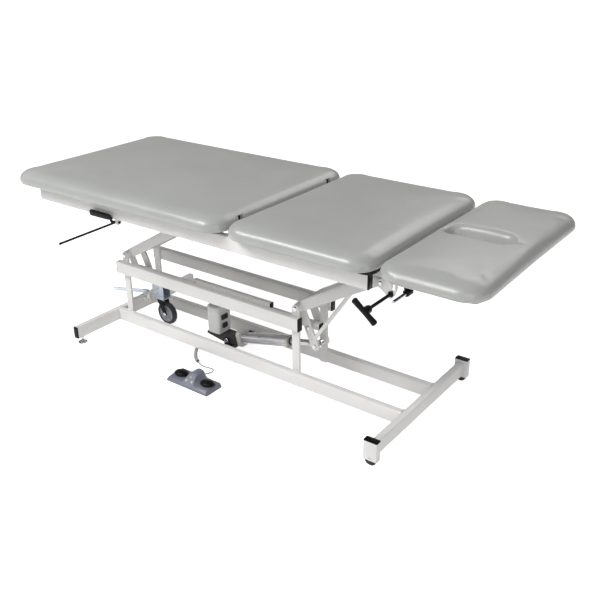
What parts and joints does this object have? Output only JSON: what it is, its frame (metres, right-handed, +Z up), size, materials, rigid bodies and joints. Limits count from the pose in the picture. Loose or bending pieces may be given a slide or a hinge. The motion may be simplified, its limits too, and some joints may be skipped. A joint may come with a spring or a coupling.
{
  "type": "powered treatment table",
  "caption": "Powered height-adjustable treatment table: a lift-and-tilt padded top in sections on a parallelogram linkage, with levelling feet, rollers, a drop-down caster and a foot switch.",
  "frame": {"origin": "on the floor under the middle of the bounding box: the middle of the table's length, and 85 mm in front of the cushions' centre line because the pull rod stands out at the front", "axes": "+X along the table towards the head end with the face slot, +Y to the back, +Z up"},
  "size_m": [1.93, 0.932, 0.707],
  "materials": {
    "painted_steel": "satin",
    "black_steel": "satin",
    "black_plastic": "satin",
    "vinyl": "satin",
    "bright_steel": "satin",
    "zinc_steel": "satin",
    "pale_plastic": "satin",
    "dark_plastic": "satin",
    "anodised": "satin",
    "tread": "matte",
    "switch_plastic": "satin",
    "cable_jacket": "satin"
  },
  "bodies": {
    "base": {"base_rail_front": "painted_steel", "base_rail_back": "painted_steel", "base_cross_leg": "painted_steel", "base_crossbar": "painted_steel", "foot_cap_front": "black_plastic", "foot_cap_back": "black_plastic", "cross_leg_cap_front": "black_plastic", "cross_leg_cap_back": "black_plastic", "levelling_glide_front": "bright_steel", "levelling_glide_back": "bright_steel", "mid_rail_front": "painted_steel", "mid_rail_back": "painted_steel", "mid_rail_cap_front": "black_plastic", "mid_rail_cap_back": "black_plastic", "post_front_left": "painted_steel", "post_front_right": "painted_steel", "post_back_left": "painted_steel", "post_back_right": "painted_steel", "actuator_bracket": "black_steel", "inner_bar": "painted_steel", "caster_mount": "painted_steel", "switch_housing": "switch_plastic", "switch_sleeve": "cable_jacket", "switch_cable": "cable_jacket"},
    "lift_right": {"crank_right": "painted_steel", "arm_right_front": "painted_steel", "arm_right_back": "painted_steel"},
    "lift_left": {"crank_left": "painted_steel", "arm_left_front": "painted_steel", "arm_left_back": "painted_steel"},
    "tie_link": {"tie_bar": "painted_steel"},
    "actuator_body": {"actuator_gearbox": "dark_plastic", "actuator_motor": "pale_plastic", "actuator_tube": "anodised"},
    "actuator_piston": {"actuator_rod": "bright_steel"},
    "top_frame": {"top_rail_front": "painted_steel", "top_rail_back": "painted_steel", "top_rail_cap_front": "black_plastic", "top_rail_cap_back": "black_plastic", "top_cross_end": "painted_steel", "top_cross_left": "painted_steel", "top_cross_hinge": "painted_steel", "top_cross_right": "painted_steel", "pan_centre": "black_steel", "cushion_centre": "vinyl"},
    "long_section": {"pan_long": "black_steel", "cushion_long": "vinyl"},
    "head_section": {"pan_head": "black_steel", "cushion_head": "vinyl"},
    "section_lever": {"release_lever": "black_plastic"},
    "clamp_screw": {"clamp_handle": "black_plastic"},
    "head_lever": {"head_release_bar": "bright_steel"},
    "caster_pedal": {"foot_lever": "zinc_steel"},
    "caster_slide": {"caster_carriage": "zinc_steel"},
    "caster_swivel_fork": {"caster_fork": "bright_steel"},
    "caster_roller": {"caster_wheel": "tread"},
    "front_roller": {"roller_front": "tread"},
    "back_roller": {"roller_back": "tread"},
    "left_pedal": {"pedal_left": "black_plastic"},
    "right_pedal": {"pedal_right": "black_plastic"}
  },
  "joints": [
    {"name": "lift", "type": "hinge", "parent": "base", "child": "lift_right", "pos_m": [0.166, 0.085, 0.321], "axis": [0, -1, 0], "range_deg": [-30, 40]},
    {"name": "lift_left_arms", "type": "hinge", "parent": "base", "child": "lift_left", "pos_m": [-0.7, 0.085, 0.321], "axis": [0, -1, 0], "range_deg": [-30, 40]},
    {"name": "top_stays_level", "type": "hinge", "parent": "lift_right", "child": "top_frame", "pos_m": [0.58169, 0.085, 0.561], "axis": [0, -1, 0], "range_deg": [-40, 30]},
    {"name": "tie_stays_level", "type": "hinge", "parent": "lift_right", "child": "tie_link", "pos_m": [0.19976, 0.058, 0.24518], "axis": [0, -1, 0], "range_deg": [-40, 30]},
    {"name": "actuator_swing", "type": "hinge", "parent": "base", "child": "actuator_body", "pos_m": [-0.19, 0.058, 0.076], "axis": [0, -1, 0], "range_deg": [-2.43, 3.24]},
    {"name": "actuator_stroke", "type": "slide", "parent": "actuator_body", "child": "actuator_piston", "axis": [0.9714, 0, 0.2373], "range_m": [-0.075, 0.1]},
    {"name": "long_section_tilt", "type": "hinge", "parent": "top_frame", "child": "long_section", "pos_m": [0.0465, 0.085, 0.6785], "axis": [0, 1, 0], "range_deg": [0, 75]},
    {"name": "head_section_drop", "type": "hinge", "parent": "top_frame", "child": "head_section", "pos_m": [0.62, 0.085, 0.608], "axis": [0, 1, 0], "range_deg": [0, 60]},
    {"name": "section_lever_pull", "type": "hinge", "parent": "top_frame", "child": "section_lever", "pos_m": [-0.46, -0.2238, 0.5772], "axis": [1, 0, 0], "range_deg": [0, 12], "stiffness_Nm_per_rad": 4, "springref_deg": -5.73},
    {"name": "clamp_turn", "type": "hinge", "parent": "top_frame", "child": "clamp_screw", "pos_m": [0.655, -0.347, 0.584], "axis": [0, 1, 0], "range_deg": [-180, 180]},
    {"name": "head_lever_pull", "type": "hinge", "parent": "head_section", "child": "head_lever", "pos_m": [0.674, -0.174, 0.622], "axis": [0, 1, 0], "range_deg": [0, 15], "stiffness_Nm_per_rad": 4, "springref_deg": -5.73},
    {"name": "caster_pedal_press", "type": "hinge", "parent": "base", "child": "caster_pedal", "pos_m": [-0.65, 0.051, 0.154], "axis": [0, -1, 0], "range_deg": [0, 12]},
    {"name": "caster_drop", "type": "slide", "parent": "base", "child": "caster_slide", "axis": [0, 0, -1], "range_m": [0, 0.014]},
    {"name": "caster_swivel", "type": "hinge", "parent": "caster_slide", "child": "caster_swivel_fork", "pos_m": [-0.598, 0.085, 0.12], "axis": [0, 0, 1], "continuous": true},
    {"name": "caster_spin", "type": "hinge", "parent": "caster_swivel_fork", "child": "caster_roller", "pos_m": [-0.574, 0.085, 0.062], "axis": [0, 1, 0], "continuous": true},
    {"name": "front_roller_spin", "type": "hinge", "parent": "base", "child": "front_roller", "pos_m": [0.626, -0.231, 0.022], "axis": [0, 1, 0], "continuous": true},
    {"name": "back_roller_spin", "type": "hinge", "parent": "base", "child": "back_roller", "pos_m": [0.626, 0.401, 0.022], "axis": [0, 1, 0], "continuous": true},
    {"name": "left_pedal_press", "type": "hinge", "parent": "base", "child": "left_pedal", "pos_m": [-0.227, -0.177, 0.02], "axis": [1, 0, 0], "range_deg": [0, 4.5], "stiffness_Nm_per_rad": 1, "springref_deg": -2.86},
    {"name": "right_pedal_press", "type": "hinge", "parent": "base", "child": "right_pedal", "pos_m": [-0.097, -0.177, 0.02], "axis": [1, 0, 0], "range_deg": [0, 4.5], "stiffness_Nm_per_rad": 1, "springref_deg": -2.86}
  ],
  "couplings": [
    {"joint": "lift_left_arms", "follows": "lift", "ratio": 1},
    {"joint": "top_stays_level", "follows": "lift", "ratio": -1},
    {"joint": "tie_stays_level", "follows": "lift", "ratio": -1},
    {"joint": "actuator_swing", "follows": "lift", "ratio": 0.081},
    {"joint": "actuator_stroke", "follows": "lift", "m_per_rad": 0.143},
    {"joint": "caster_drop", "follows": "caster_pedal_press", "m_per_rad": 0.0668}
  ]
}
